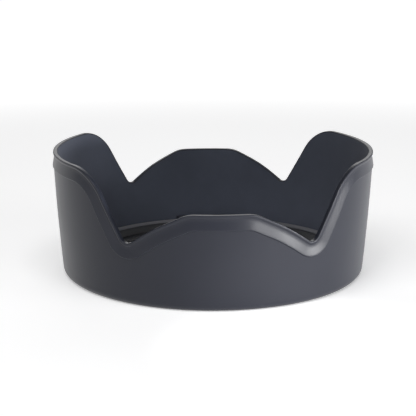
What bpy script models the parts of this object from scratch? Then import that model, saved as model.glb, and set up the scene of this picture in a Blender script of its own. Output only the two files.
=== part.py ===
"""Petal lens hood: a moulded hood with a lined inside, a bayonet ring held by four screws, and a sprung lock.

Metres, +Z towards the petals. The origin is the centre of the foot plane, on the optical axis. The short
petals are on -Y and +Y and the tall petals on -X and +X. The lock is in the wall on +Y.
"""

import math

import bmesh
import bpy
from mathutils import Matrix, Vector

MM = 0.001
GAP = 0.3 * MM  # between pieces that touch on the real hood

# Wall: its outer radius at height z is FOOT_RADIUS + FLARE * z - BARREL * z * z
FOOT_RADIUS = 48.0 * MM
FLARE = 0.0958
BARREL = 0.78
FOOT_ROUND = 2.2 * MM
FOOT_INNER_RADIUS = 45.6 * MM
ROUND_STEPS = 4

# Thickness of wall and lining together: RIM_THICKNESS at the tall rim, growing smoothly towards the base
RIM_THICKNESS = 1.4 * MM
BASE_THICKENING = 2.2 * MM
LINING = 0.3 * MM
LINING_GAP = 0.2 * MM
INNER_LIP_DEPTH = 1.2 * MM  # the rim's inner lip covers the lining's edge

# Rim, laid out flat: angle from the short petal's middle, height, corner radius
RIM_RADIUS = 49.5 * MM
SHORT_HEIGHT = 29.2 * MM
TALL_HEIGHT = 39.2 * MM
RIM_CORNERS = (
    (0.0, SHORT_HEIGHT, 0.0),
    (11.3, SHORT_HEIGHT, 10.0 * MM),
    (23.0, 24.4 * MM, 50.0 * MM),
    (34.15, 18.05 * MM, 2.4 * MM),
    (48.35, TALL_HEIGHT, 15.0 * MM),
    (90.0, TALL_HEIGHT, 0.0),
)
ARC_STEP = math.radians(13)
STRAIGHT_STEP = 4.6 * MM

# Lip band along the rim: depth below the edge, height above the wall
LIP_PROFILE = (
    (4.75 * MM, 0.0),
    (4.5 * MM, 0.34 * MM),
    (3.1 * MM, 0.18 * MM),
    (1.7 * MM, 0.0),
    (1.15 * MM, 0.0),
    (0.7 * MM, 0.26 * MM),
    (0.2 * MM, 0.26 * MM),
    (0.0, 0.05 * MM),
)
LIP_DEPTH = LIP_PROFILE[0][0]
EDGE_CHAMFER = 0.3 * MM

# Inner ledge and the lock's pocket under its raised stretch, angles from +Y towards +X
LEDGE_TOP = 4.5 * MM
LEDGE_BOTTOM = 1.9 * MM
LEDGE_RADIUS = 42.65 * MM
BLOCK_TOP = 5.6 * MM
BLOCK_ANGLES = (-13.5, 17.0)
POCKET_ANGLES = (-11.5, 15.0)
POCKET_BOTTOM = 1.7 * MM
POCKET_TOP = 4.8 * MM
POCKET_RADIUS = 46.3 * MM
POCKET_WALL = 1.6 * MM

# Mount ring
BORE_RADIUS = 41.5 * MM
COLLAR_RADIUS = 42.35 * MM
FLANGE_RADIUS = 45.3 * MM
FLANGE = 1.6 * MM
RING_STEPS = 120
LUG_RADIUS = 40.3 * MM
LUG_HEIGHTS = (0.4 * MM, 1.8 * MM)
LUG_HALF_ANGLE = 12.0
LUG_ANGLES = (80.0, 200.0, 320.0)

# Screws of the ring
SCREW_CIRCLE = 44.0 * MM
SCREW_ANGLES = (45.0, 135.0, 225.0, 315.0)
SCREW_RADIUS = 0.55 * MM
SCREW_HEAD_RADIUS = 1.1 * MM
SCREW_HEAD = 0.7 * MM
SCREW_TOP = 3.9 * MM
SCREW_SLACK = 0.2 * MM
COUNTERBORE = 0.9 * MM

# Lock
BUTTON_HALF_WIDTH = 5.8 * MM
BUTTON_HEIGHTS = (1.6 * MM, 4.5 * MM)
BUTTON_FACE_RADIUS = 48.8 * MM
BUTTON_INNER_RADIUS = 45.95 * MM
EAR_HALF_WIDTH = 7.4 * MM
EAR_RADIUS = 45.35 * MM
EAR_HEIGHTS = (3.75 * MM, 4.5 * MM)
PUSH_X = -3.8 * MM
PUSH_HALF_WIDTH = 0.6 * MM
PUSH_RADIUS = 45.05 * MM
PUSH_HEIGHTS = (2.1 * MM, 3.3 * MM)
WINDOW_GAP = 0.25 * MM
PIVOT_X = 2.2 * MM
PIVOT_CIRCLE = 43.75 * MM
PIN_RADIUS = 0.45 * MM
PIN_HEIGHTS = (0.7 * MM, 5.1 * MM)
PIN_SLACK = 0.12 * MM
HUB_RADIUS = 1.15 * MM
HUB_TOP = 0.95 * MM
LEVER_HEIGHTS = (1.95 * MM, 3.45 * MM)
TOOTH_X = 8.2 * MM
TOOTH_HALF_WIDTH = 1.15 * MM
TOOTH_RADIUS = 40.4 * MM
SPRING_COILS = 4
SPRING_RADIUS = 0.72 * MM
SPRING_WIRE = 0.12 * MM
SPRING_POINTS = 10

# Paint inlays above the button
MARK_HEIGHT = 9.0 * MM
MARK_RADIUS = 0.9 * MM
MARK_DEPTH = 0.5 * MM
MARK_PAINT = 0.3 * MM
MARK_SLACK = 0.1 * MM
LOCK_MARK_ANGLE = 14.0
LOCK_MARK_HOLE = 0.5 * MM


# ---------------------------------------------------------------- scene and materials


def clear_scene():
    for obj in list(bpy.data.objects):
        bpy.data.objects.remove(obj, do_unlink=True)


def make_collection(name):
    collection = bpy.data.collections.new(name)
    bpy.context.scene.collection.children.link(collection)
    return collection


def make_material(name, colour, roughness, metallic=0.0):
    material = bpy.data.materials.new(name)
    material.use_nodes = True
    shader = material.node_tree.nodes["Principled BSDF"]
    shader.inputs["Base Color"].default_value = (*colour, 1.0)
    shader.inputs["Roughness"].default_value = roughness
    shader.inputs["Metallic"].default_value = metallic
    return material


def shell_plastic():
    return make_material("shell_plastic", (0.045, 0.048, 0.058), 0.5)


def lining_flock():
    return make_material("lining_flock", (0.028, 0.030, 0.038), 0.95)


def ring_plastic():
    return make_material("ring_plastic", (0.040, 0.043, 0.050), 0.45)


def button_plastic():
    return make_material("button_plastic", (0.035, 0.036, 0.042), 0.4)


def lever_plastic():
    return make_material("lever_plastic", (0.05, 0.05, 0.05), 0.4)


def black_screw_steel():
    return make_material("black_screw_steel", (0.08, 0.08, 0.085), 0.35, 0.9)


def pin_steel():
    return make_material("pin_steel", (0.6, 0.6, 0.6), 0.3, 1.0)


def mark_paint():
    return make_material("mark_paint", (0.75, 0.75, 0.73), 0.6)


def finish(obj, material, collection, smooth_angle=35):
    """Gives a finished sub-part its material, its shading and its collection."""
    obj.data.materials.clear()
    obj.data.materials.append(material)
    for owner in list(obj.users_collection):
        owner.objects.unlink(obj)
    collection.objects.link(obj)
    obj.data.shade_smooth()
    obj.data.set_sharp_from_angle(angle=math.radians(smooth_angle))
    return obj


# ---------------------------------------------------------------- shapes that several pieces share


def wall_radius(z):
    return FOOT_RADIUS + FLARE * z - BARREL * z * z


def inner_radius(z):
    """The radius of the lining's inner face."""
    return wall_radius(z) - RIM_THICKNESS - BASE_THICKENING * (1 - z / TALL_HEIGHT) ** 4


def around(angle, radius, z):
    """The point at this angle from -Y towards +X."""
    return Vector((radius * math.sin(angle), -radius * math.cos(angle), z))


def from_rear(degrees, radius):
    """The (x, y) at this angle from +Y towards +X."""
    return (radius * math.sin(math.radians(degrees)), radius * math.cos(math.radians(degrees)))


def on_circle(x, radius):
    """The (x, y) on the +Y half of a circle about the axis."""
    return (x, math.sqrt(radius * radius - x * x))


def mesh_object(name, bm):
    bmesh.ops.recalc_face_normals(bm, faces=bm.faces)
    mesh = bpy.data.meshes.new(name)
    bm.to_mesh(mesh)
    bm.free()
    obj = bpy.data.objects.new(name, mesh)
    bpy.context.scene.collection.objects.link(obj)
    return obj


def curve_to_mesh(curve_object):
    """A mesh object in the curve's place, with its loose caps welded on."""
    graph = bpy.context.evaluated_depsgraph_get()
    mesh = bpy.data.meshes.new_from_object(curve_object.evaluated_get(graph))
    bm = bmesh.new()
    bm.from_mesh(mesh)
    bmesh.ops.remove_doubles(bm, verts=bm.verts, dist=0.001 * MM)
    bm.to_mesh(mesh)
    bm.free()
    name = curve_object.name
    place = curve_object.matrix_world.copy()
    bpy.data.objects.remove(curve_object, do_unlink=True)
    obj = bpy.data.objects.new(name, mesh)
    obj.matrix_world = place
    bpy.context.scene.collection.objects.link(obj)
    return obj


def prism(name, outlines, heights):
    """A flat outline, and any holes in it, stood up between two heights."""
    curve = bpy.data.curves.new(name, "CURVE")
    curve.dimensions = "2D"
    curve.fill_mode = "BOTH"
    curve.extrude = (heights[1] - heights[0]) / 2
    for outline in outlines:
        spline = curve.splines.new("POLY")
        spline.points.add(len(outline) - 1)
        for point, (x, y) in zip(spline.points, outline):
            point.co = (x, y, 0.0, 1.0)
        spline.use_cyclic_u = True
    obj = bpy.data.objects.new(name, curve)
    obj.location.z = (heights[0] + heights[1]) / 2
    bpy.context.scene.collection.objects.link(obj)
    bpy.context.view_layer.update()
    return curve_to_mesh(obj)


def cylinder(name, radius, heights, centre=(0.0, 0.0), segments=24):
    bm = bmesh.new()
    bmesh.ops.create_cone(
        bm, cap_ends=True, segments=segments, radius1=radius, radius2=radius, depth=heights[1] - heights[0]
    )
    middle = Vector((*centre, (heights[0] + heights[1]) / 2))
    bmesh.ops.translate(bm, verts=bm.verts, vec=middle)
    return mesh_object(name, bm)


def box(name, low, high):
    bm = bmesh.new()
    bmesh.ops.create_cube(bm, size=1.0)
    low = Vector(low)
    high = Vector(high)
    bmesh.ops.scale(bm, vec=high - low, verts=bm.verts)
    bmesh.ops.translate(bm, vec=(high + low) / 2, verts=bm.verts)
    return mesh_object(name, bm)


def turned(name, profile, steps):
    """A profile of (radius, z), drawn top to bottom down its outer side, turned about the axis."""
    mesh = bpy.data.meshes.new(name)
    points = [(radius, 0.0, z) for radius, z in profile]
    edges = [(i, (i + 1) % len(points)) for i in range(len(points))]
    mesh.from_pydata(points, edges, [])
    obj = bpy.data.objects.new(name, mesh)
    bpy.context.scene.collection.objects.link(obj)
    screw = obj.modifiers.new("Turn", "SCREW")
    screw.axis = "Z"
    screw.angle = math.tau
    screw.steps = steps
    screw.render_steps = steps
    screw.use_merge_vertices = True
    screw.merge_threshold = 0.001 * MM
    return obj


def arc(radius, start, end, step=1.5):
    """Points on an arc between two angles from the +Y axis, in degrees."""
    count = max(2, math.ceil(abs(end - start) / step))
    return [from_rear(start + (end - start) * i / count, radius) for i in range(count + 1)]


def sector(name, radii, angles, heights):
    """A piece of a flat ring between two angles from +Y."""
    outline = arc(radii[0], angles[0], angles[1]) + arc(radii[1], angles[1], angles[0])
    return prism(name, [outline], heights)


def bent_bar(name, half_width, radii, heights):
    """A bar across +Y whose two faces follow circles about the axis, with straight ends."""
    count = 8
    outline = []
    for radius, start, end in ((radii[0], -half_width, half_width), (radii[1], half_width, -half_width)):
        outline += [on_circle(start + (end - start) * i / count, radius) for i in range(count + 1)]
    return prism(name, [outline], heights)


def add_boolean(obj, other, operation, helpers):
    """Cuts or joins with another object, which then stays as a hidden helper."""
    modifier = obj.modifiers.new(other.name, "BOOLEAN")
    modifier.operation = operation
    modifier.object = other
    for owner in list(other.users_collection):
        owner.objects.unlink(other)
    helpers.objects.link(other)
    other.hide_render = True
    other.display_type = "WIRE"


# ---------------------------------------------------------------- the rim's line and the lofted wall


def rounded_line(corners):
    """(along, height, slope angle) at points of a flat line whose corners are rounded off."""
    slopes = [math.atan2(b[1] - a[1], b[0] - a[0]) for a, b in zip(corners, corners[1:])]
    stretches = []
    start = corners[0][:2]
    for corner, before, after in zip(corners[1:-1], slopes, slopes[1:]):
        radius = corner[2]
        turn = after - before
        cut = radius * math.tan(abs(turn) / 2)
        first = (corner[0] - cut * math.cos(before), corner[1] - cut * math.sin(before))
        side = math.copysign(1.0, turn)
        centre = (first[0] - side * radius * math.sin(before), first[1] + side * radius * math.cos(before))
        stretches.append((start, first, before, None, 0.0, 0.0))
        stretches.append((first, None, before, centre, side * radius, turn))
        start = (centre[0] + side * radius * math.sin(after), centre[1] - side * radius * math.cos(after))
    stretches.append((start, corners[-1][:2], slopes[-1], None, 0.0, 0.0))
    line = []
    for first, last, slope, centre, radius, turn in stretches:
        if centre:
            count = max(2, round(abs(turn) / ARC_STEP))
            angles = [slope + turn * i / count for i in range(count)]
            line += [(centre[0] + radius * math.sin(a), centre[1] - radius * math.cos(a), a) for a in angles]
        else:
            length = math.dist(first, last)
            count = max(1, round(length / STRAIGHT_STEP))
            shares = [i / count for i in range(count)]
            line += [(*(a + (b - a) * share for a, b in zip(first, last)), slope) for share in shares]
    line.append((*corners[-1][:2], slopes[-1]))
    return line


def rim_line():
    """The whole rim, once round: the quarter line mirrored into the other three quarters."""
    corners = [(RIM_RADIUS * math.radians(angle), height, radius) for angle, height, radius in RIM_CORNERS]
    quarter = rounded_line(corners)
    half_turn = math.pi * RIM_RADIUS
    back = [(half_turn - along, height, -slope) for along, height, slope in reversed(quarter)]
    half = quarter[:-1] + back[:-1]
    return half + [(along + half_turn, height, slope) for along, height, slope in half]


def below_rim(station, depth, face, rise):
    """The point this deep below the rim, square to its line, and this far out from a face of the wall."""
    along, height, slope = station
    angle = (along + depth * math.sin(slope)) / RIM_RADIUS
    z = height - depth * math.cos(slope)
    return around(angle, face(z) + rise, z)


def above_foot(station, share, low, face, rise):
    """The point this share of the way from height low to the lip band, and this far out from a face of the wall."""
    along, height, slope = station
    angle = (along + LIP_DEPTH * math.sin(slope)) / RIM_RADIUS
    z = low + (height - LIP_DEPTH * math.cos(slope) - low) * share
    return around(angle, face(z) + rise, z)


def foot_angle(station):
    return (station[0] + LIP_DEPTH * math.sin(station[2])) / RIM_RADIUS


def loft(name, sections):
    """A closed skin through closed sections, the last one joined to the first."""
    bm = bmesh.new()
    rows = [[bm.verts.new(point) for point in section] for section in sections]
    for row, following in zip(rows, rows[1:] + rows[:1]):
        for i in range(len(row)):
            j = (i + 1) % len(row)
            bm.faces.new((row[i], row[j], following[j], following[i]))
    return mesh_object(name, bm)


def shell_section(station):
    """The hood's section at one place on the rim: foot, outer wall, lip band, rim, inner wall, ledge."""
    angle = foot_angle(station)
    round_radius = wall_radius(FOOT_ROUND)
    section = [around(angle, FOOT_INNER_RADIUS, 0.0)]
    for i in range(ROUND_STEPS + 1):
        turn = math.pi / 2 * i / ROUND_STEPS
        radius = round_radius - FOOT_ROUND * (1 - math.sin(turn))
        section.append(around(angle, radius, FOOT_ROUND * (1 - math.cos(turn))))
    section += [above_foot(station, share, FOOT_ROUND, wall_radius, 0.0) for share in (0.35, 0.7)]
    section += [below_rim(station, depth, wall_radius, rise) for depth, rise in LIP_PROFILE]
    section.append(below_rim(station, 0.0, inner_radius, EDGE_CHAMFER))
    section += [below_rim(station, depth, inner_radius, 0.0) for depth in (EDGE_CHAMFER, INNER_LIP_DEPTH)]
    back = LINING + LINING_GAP
    section.append(below_rim(station, INNER_LIP_DEPTH, inner_radius, back))
    section += [above_foot(station, share, LEDGE_TOP, inner_radius, back) for share in (1.0, 0.5, 0.2, 0.0)]
    section.append(around(angle, LEDGE_RADIUS, LEDGE_TOP))
    section.append(around(angle, LEDGE_RADIUS, LEDGE_BOTTOM))
    section.append(around(angle, FOOT_INNER_RADIUS, LEDGE_BOTTOM))
    return section


def lining_section(station):
    top = INNER_LIP_DEPTH + GAP
    bottom = LEDGE_TOP + GAP
    section = [above_foot(station, share, bottom, inner_radius, LINING) for share in (0.0, 0.2, 0.5, 1.0)]
    section += [below_rim(station, top, inner_radius, rise) for rise in (LINING, 0.0)]
    section += [above_foot(station, share, bottom, inner_radius, 0.0) for share in (1.0, 0.5, 0.2, 0.0)]
    return section


# ---------------------------------------------------------------- the fixed pieces


def pivot_point():
    return on_circle(PIVOT_X, PIVOT_CIRCLE)


def mark_cutter(name, degrees, radius):
    """A short round cutter that stands square on the outer wall."""
    cutter = cylinder(name, radius, (-MARK_DEPTH, 2 * MARK_DEPTH))
    place_on_wall(cutter, degrees)
    return cutter


def place_on_wall(obj, degrees):
    """Moves a piece made about +Z so that +Z points out of the wall at the marks' height."""
    x, y = from_rear(degrees, wall_radius(MARK_HEIGHT))
    outward = Vector((x, y, 0.0)).normalized()
    turn = outward.to_track_quat("Z", "Y").to_matrix().to_4x4()
    obj.data.transform(Matrix.Translation((x, y, MARK_HEIGHT)) @ turn)


def make_hood_shell(parts, helpers):
    shell = loft("hood_shell", [shell_section(station) for station in rim_line()])
    block_radii = (LEDGE_RADIUS, POCKET_RADIUS + POCKET_WALL)
    block = sector("pocket_block", block_radii, BLOCK_ANGLES, (LEDGE_BOTTOM + GAP, BLOCK_TOP))
    add_boolean(shell, block, "UNION", helpers)
    pocket_radii = (LEDGE_RADIUS - 2 * GAP, POCKET_RADIUS)
    pocket = sector("pocket_cutter", pocket_radii, POCKET_ANGLES, (POCKET_BOTTOM, POCKET_TOP))
    add_boolean(shell, pocket, "DIFFERENCE", helpers)
    window = box(
        "window_cutter",
        (-BUTTON_HALF_WIDTH - WINDOW_GAP, EAR_RADIUS - 2 * MM, BUTTON_HEIGHTS[0] - WINDOW_GAP),
        (BUTTON_HALF_WIDTH + WINDOW_GAP, FOOT_RADIUS + 4 * MM, BUTTON_HEIGHTS[1] + WINDOW_GAP),
    )
    add_boolean(shell, window, "DIFFERENCE", helpers)
    pin_heights = (LEDGE_BOTTOM, PIN_HEIGHTS[1] + 0.2 * MM)
    pin_hole = cylinder("pin_hole_cutter", PIN_RADIUS + PIN_SLACK, pin_heights, pivot_point())
    add_boolean(shell, pin_hole, "DIFFERENCE", helpers)
    for number, degrees in enumerate(SCREW_ANGLES, 1):
        centre = from_rear(degrees, SCREW_CIRCLE)
        heights = (0.0, SCREW_TOP + GAP)
        hole = cylinder(f"thread_cutter_{number}", SCREW_RADIUS + SCREW_SLACK, heights, centre, 16)
        add_boolean(shell, hole, "DIFFERENCE", helpers)
    for name, degrees in (("dot_cutter", 0.0), ("lock_mark_cutter", LOCK_MARK_ANGLE)):
        add_boolean(shell, mark_cutter(name, degrees, MARK_RADIUS + MARK_SLACK), "DIFFERENCE", helpers)
    return finish(shell, shell_plastic(), parts)


def make_flock_lining(parts, helpers):
    lining = loft("flock_lining", [lining_section(station) for station in rim_line()])
    radii = (LEDGE_RADIUS - GAP, POCKET_RADIUS + 2 * POCKET_WALL)
    angles = (BLOCK_ANGLES[0] - 0.4, BLOCK_ANGLES[1] + 0.4)
    cutter = sector("lining_cutter", radii, angles, (LEDGE_TOP - GAP, BLOCK_TOP + GAP))
    add_boolean(lining, cutter, "DIFFERENCE", helpers)
    return finish(lining, lining_flock(), parts)


def make_mount_ring(parts, helpers):
    profile = (
        (COLLAR_RADIUS, LEDGE_TOP),
        (COLLAR_RADIUS, FLANGE),
        (FLANGE_RADIUS, FLANGE),
        (FLANGE_RADIUS, GAP),
        (FLANGE_RADIUS - GAP, 0.0),
        (BORE_RADIUS + GAP, 0.0),
        (BORE_RADIUS, GAP),
        (BORE_RADIUS, LEDGE_TOP),
    )
    ring = turned("mount_ring", profile, RING_STEPS)
    guard = sector("collar_guard", (BORE_RADIUS, COLLAR_RADIUS), POCKET_ANGLES, (LEDGE_TOP - GAP, BLOCK_TOP))
    add_boolean(ring, guard, "UNION", helpers)
    for number, degrees in enumerate(LUG_ANGLES, 1):
        angles = (degrees - LUG_HALF_ANGLE, degrees + LUG_HALF_ANGLE)
        radii = (LUG_RADIUS, (BORE_RADIUS + COLLAR_RADIUS) / 2)
        add_boolean(ring, sector(f"lug_{number}", radii, angles, LUG_HEIGHTS), "UNION", helpers)
    slot = box(
        "tooth_slot_cutter",
        (TOOTH_X - TOOTH_HALF_WIDTH - 0.5 * MM, LUG_RADIUS - 3 * MM, LEVER_HEIGHTS[0] - GAP / 2),
        (TOOTH_X + TOOTH_HALF_WIDTH + 1.05 * MM, COLLAR_RADIUS + GAP, LEVER_HEIGHTS[1] + GAP),
    )
    add_boolean(ring, slot, "DIFFERENCE", helpers)
    socket_heights = (PIN_HEIGHTS[0] - 0.2 * MM, FLANGE + GAP)
    socket = cylinder("pin_socket_cutter", PIN_RADIUS + PIN_SLACK, socket_heights, pivot_point())
    add_boolean(ring, socket, "DIFFERENCE", helpers)
    for number, degrees in enumerate(SCREW_ANGLES, 1):
        centre = from_rear(degrees, SCREW_CIRCLE)
        hole = cylinder(f"shank_cutter_{number}", SCREW_RADIUS + SCREW_SLACK, (-MM, FLANGE + MM), centre, 16)
        add_boolean(ring, hole, "DIFFERENCE", helpers)
        bore = cylinder(f"head_cutter_{number}", SCREW_HEAD_RADIUS + SCREW_SLACK, (-MM, COUNTERBORE), centre)
        add_boolean(ring, bore, "DIFFERENCE", helpers)
    return finish(ring, ring_plastic(), parts)


def make_ring_screw(number, degrees, material, parts, helpers):
    """A pan-head screw from below, with a cross slot in its head."""
    centre = from_rear(degrees, SCREW_CIRCLE)
    head_bottom = COUNTERBORE - SCREW_HEAD - 0.05 * MM
    head_top = COUNTERBORE - 0.05 * MM
    profile = (
        (0.0, SCREW_TOP),
        (SCREW_RADIUS * 0.6, SCREW_TOP),
        (SCREW_RADIUS, SCREW_TOP - 0.4 * MM),
        (SCREW_RADIUS, head_top),
        (SCREW_HEAD_RADIUS, head_top),
        (SCREW_HEAD_RADIUS, head_bottom + 0.25 * MM),
        (SCREW_HEAD_RADIUS * 0.7, head_bottom),
        (0.0, head_bottom),
    )
    screw = turned(f"ring_screw_{number}", profile, 16)
    screw.location = (*centre, 0.0)
    arm = SCREW_HEAD_RADIUS * 0.62
    half_slot = 0.14 * MM
    for letter, half in (("a", (arm, half_slot)), ("b", (half_slot, arm))):
        low = (centre[0] - half[0], centre[1] - half[1], head_bottom - GAP)
        high = (centre[0] + half[0], centre[1] + half[1], head_bottom + 0.35 * MM)
        cutter = box(f"slot_cutter_{number}{letter}", low, high)
        add_boolean(screw, cutter, "DIFFERENCE", helpers)
    return finish(screw, material, parts)


def make_mark(name, degrees, hole, material, parts):
    """A paint inlay sunk in the wall: a dot, or a ring when it has a hole."""
    count = 20
    outlines = []
    for radius in (MARK_RADIUS, hole):
        if radius:
            turns = [math.tau * i / count for i in range(count)]
            outlines.append([(radius * math.cos(turn), radius * math.sin(turn)) for turn in turns])
    mark = prism(name, outlines, (-MARK_PAINT - MARK_SLACK, -MARK_SLACK))
    mark.data.transform(mark.matrix_world)
    mark.matrix_world = Matrix.Identity(4)
    place_on_wall(mark, degrees)
    return finish(mark, material, parts)


# ---------------------------------------------------------------- the lock


def make_lock_button(parts, helpers):
    """The finger piece with its ears, which keep it in the window, and the rib that pushes the lever."""
    face_radii = (BUTTON_INNER_RADIUS, BUTTON_FACE_RADIUS)
    button = bent_bar("lock_button", BUTTON_HALF_WIDTH, face_radii, BUTTON_HEIGHTS)
    ear_radii = (EAR_RADIUS, BUTTON_INNER_RADIUS + 0.1 * MM)
    ears = bent_bar("button_ears", EAR_HALF_WIDTH, ear_radii, EAR_HEIGHTS)
    add_boolean(button, ears, "UNION", helpers)
    low = (PUSH_X - PUSH_HALF_WIDTH, PUSH_RADIUS - 0.15 * MM, PUSH_HEIGHTS[0])
    high = (PUSH_X + PUSH_HALF_WIDTH, BUTTON_INNER_RADIUS + 0.3 * MM, PUSH_HEIGHTS[1])
    add_boolean(button, box("push_rib", low, high), "UNION", helpers)
    for number in range(3):
        x = (number - 1) * 2.4 * MM
        low = (x - 0.35 * MM, BUTTON_FACE_RADIUS - 0.3 * MM, BUTTON_HEIGHTS[0] - GAP)
        high = (x + 0.35 * MM, BUTTON_FACE_RADIUS + MM, BUTTON_HEIGHTS[1] + GAP)
        add_boolean(button, box(f"grip_cutter_{number + 1}", low, high), "DIFFERENCE", helpers)
    return finish(button, button_plastic(), parts)


def make_lock_lever(parts, helpers):
    """The pawl: a push arm, a hub on the pin, and an arm that ends in the tooth."""
    hub_x, hub_y = pivot_point()
    push_y = on_circle(PUSH_X, PUSH_RADIUS - 0.3 * MM)[1] - hub_y
    tooth_y = on_circle(TOOTH_X, COLLAR_RADIUS + GAP)[1] - hub_y
    tip_y = on_circle(TOOTH_X, TOOTH_RADIUS)[1] - hub_y
    push_x = PUSH_X - hub_x
    tooth_x = TOOTH_X - hub_x
    arm = 0.95 * MM
    outline = [
        (push_x - 0.7 * MM, push_y - 0.15 * MM),
        (push_x - 0.7 * MM, push_y - arm),
        (-HUB_RADIUS, -0.45 * MM),
        (-0.4 * MM, -HUB_RADIUS),
        (0.5 * MM, -HUB_RADIUS),
        (tooth_x - TOOTH_HALF_WIDTH - 0.6 * MM, tooth_y + 0.05 * MM),
        (tooth_x - TOOTH_HALF_WIDTH, tooth_y - 0.25 * MM),
        (tooth_x - TOOTH_HALF_WIDTH, tip_y),
        (tooth_x + 0.2 * MM, tip_y),
        (tooth_x + TOOTH_HALF_WIDTH, tip_y + 0.9 * MM),
        (tooth_x + TOOTH_HALF_WIDTH, tooth_y + arm - 0.2 * MM),
        (tooth_x + TOOTH_HALF_WIDTH - 0.3 * MM, tooth_y + arm),
        (HUB_RADIUS, 0.45 * MM),
        (0.5 * MM, HUB_TOP),
        (-0.5 * MM, HUB_TOP),
        (push_x + 0.7 * MM, push_y),
        (push_x - 0.5 * MM, push_y),
    ]
    lever = prism("lock_lever", [outline], LEVER_HEIGHTS)
    lever.location.x = hub_x
    lever.location.y = hub_y
    hole = cylinder("pivot_cutter", PIN_RADIUS + PIN_SLACK, (0.0, 2 * LEVER_HEIGHTS[1]), (hub_x, hub_y))
    add_boolean(lever, hole, "DIFFERENCE", helpers)
    return finish(lever, lever_plastic(), parts)


def make_lever_pin(parts):
    pin = cylinder("lever_pin", PIN_RADIUS, PIN_HEIGHTS, pivot_point(), 20)
    return finish(pin, pin_steel(), parts)


def make_lever_spring(parts):
    """A compression spring between the tooth's arm and the wall of the pocket."""
    start = on_circle(TOOTH_X, COLLAR_RADIUS + GAP)[1] + 0.95 * MM + 0.12 * MM + SPRING_WIRE
    end = on_circle(TOOTH_X + SPRING_RADIUS, POCKET_RADIUS)[1] - 0.12 * MM - SPRING_WIRE
    middle_z = sum(LEVER_HEIGHTS) / 2
    curve = bpy.data.curves.new("lever_spring", "CURVE")
    curve.dimensions = "3D"
    curve.bevel_depth = SPRING_WIRE
    curve.bevel_resolution = 1
    curve.use_fill_caps = True
    spline = curve.splines.new("POLY")
    count = SPRING_COILS * SPRING_POINTS
    spline.points.add(count)
    for i, point in enumerate(spline.points):
        turn = math.tau * i / SPRING_POINTS
        x = TOOTH_X + SPRING_RADIUS * math.cos(turn)
        z = middle_z + SPRING_RADIUS * math.sin(turn)
        point.co = (x, start + (end - start) * i / count, z, 1.0)
    obj = bpy.data.objects.new("lever_spring", curve)
    bpy.context.scene.collection.objects.link(obj)
    bpy.context.view_layer.update()
    return finish(curve_to_mesh(obj), pin_steel(), parts)


def main():
    clear_scene()
    parts = make_collection("lens_hood")
    helpers = make_collection("cutters")
    make_hood_shell(parts, helpers)
    make_flock_lining(parts, helpers)
    make_mount_ring(parts, helpers)
    screw_steel = black_screw_steel()
    for number, degrees in enumerate(SCREW_ANGLES, 1):
        make_ring_screw(number, degrees, screw_steel, parts, helpers)
    make_lock_button(parts, helpers)
    make_lock_lever(parts, helpers)
    make_lever_pin(parts)
    make_lever_spring(parts)
    paint = mark_paint()
    make_mark("index_dot", 0.0, 0.0, paint, parts)
    make_mark("lock_mark", LOCK_MARK_ANGLE, LOCK_MARK_HOLE, paint, parts)


main()
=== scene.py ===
# %% [markdown]
# # A petal lens hood
#
# A lens hood keeps light from the side off the front of a lens. This one is for a wide zoom: its rim is cut into
# two tall and two short petals, so that the corners of the picture stay clear. It is moulded in black plastic,
# lined with flock, and carries a bayonet ring, four small screws and a sprung lock.
#
# The working model is loaded first. It fixes every size, place and joint, and this lesson makes the surfaces
# that are seen.

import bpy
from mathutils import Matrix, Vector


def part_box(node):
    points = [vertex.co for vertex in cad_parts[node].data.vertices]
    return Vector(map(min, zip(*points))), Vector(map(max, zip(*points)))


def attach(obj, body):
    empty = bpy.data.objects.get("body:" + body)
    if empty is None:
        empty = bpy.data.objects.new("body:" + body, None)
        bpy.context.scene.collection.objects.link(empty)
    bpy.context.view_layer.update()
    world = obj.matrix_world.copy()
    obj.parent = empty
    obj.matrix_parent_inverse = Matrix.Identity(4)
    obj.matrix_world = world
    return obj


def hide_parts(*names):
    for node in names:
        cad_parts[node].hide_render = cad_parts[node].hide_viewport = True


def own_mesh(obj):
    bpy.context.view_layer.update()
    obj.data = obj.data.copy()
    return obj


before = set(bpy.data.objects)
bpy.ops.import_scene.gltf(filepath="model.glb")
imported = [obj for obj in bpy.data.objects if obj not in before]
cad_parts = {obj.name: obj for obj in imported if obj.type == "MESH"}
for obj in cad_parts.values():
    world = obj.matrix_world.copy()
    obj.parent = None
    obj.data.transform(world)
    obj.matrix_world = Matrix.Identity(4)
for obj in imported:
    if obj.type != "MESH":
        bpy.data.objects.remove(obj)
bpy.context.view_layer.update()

# %% [markdown]
# ## Helpers for modelling
#
# Operators act on whatever is selected, so each helper starts from an empty selection. Lengths are written in
# millimetres and turned into metres by one constant.

# %% Units, selection and edit mode
import math

import bmesh
import bpy
from mathutils import Vector

MM = 0.001


def activate(piece):
    if bpy.context.object and bpy.context.object.mode == "EDIT":
        bpy.ops.object.mode_set(mode="OBJECT")
    bpy.ops.object.select_all(action="DESELECT")
    piece.select_set(True)
    bpy.context.view_layer.objects.active = piece


def edit(piece):
    """Opens a piece in edit mode with all of it selected."""
    activate(piece)
    bpy.ops.object.mode_set(mode="EDIT")
    bpy.ops.mesh.select_all(action="SELECT")


def close(piece):
    """Turns the faces outwards and goes back to object mode."""
    bpy.ops.mesh.select_all(action="SELECT")
    bpy.ops.mesh.normals_make_consistent(inside=False)
    bpy.ops.object.mode_set(mode="OBJECT")
    return piece


def select(piece, kind, test):
    """In edit mode, selects the vertices, edges or faces for which the test holds."""
    bpy.ops.mesh.select_mode(type=kind)
    bpy.ops.mesh.select_all(action="DESELECT")
    mesh = bmesh.from_edit_mesh(piece.data)
    for element in {"VERT": mesh.verts, "EDGE": mesh.edges, "FACE": mesh.faces}[kind]:
        if test(element):
            element.select_set(True)
    mesh.select_flush_mode()
    bmesh.update_edit_mesh(piece.data)


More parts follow.
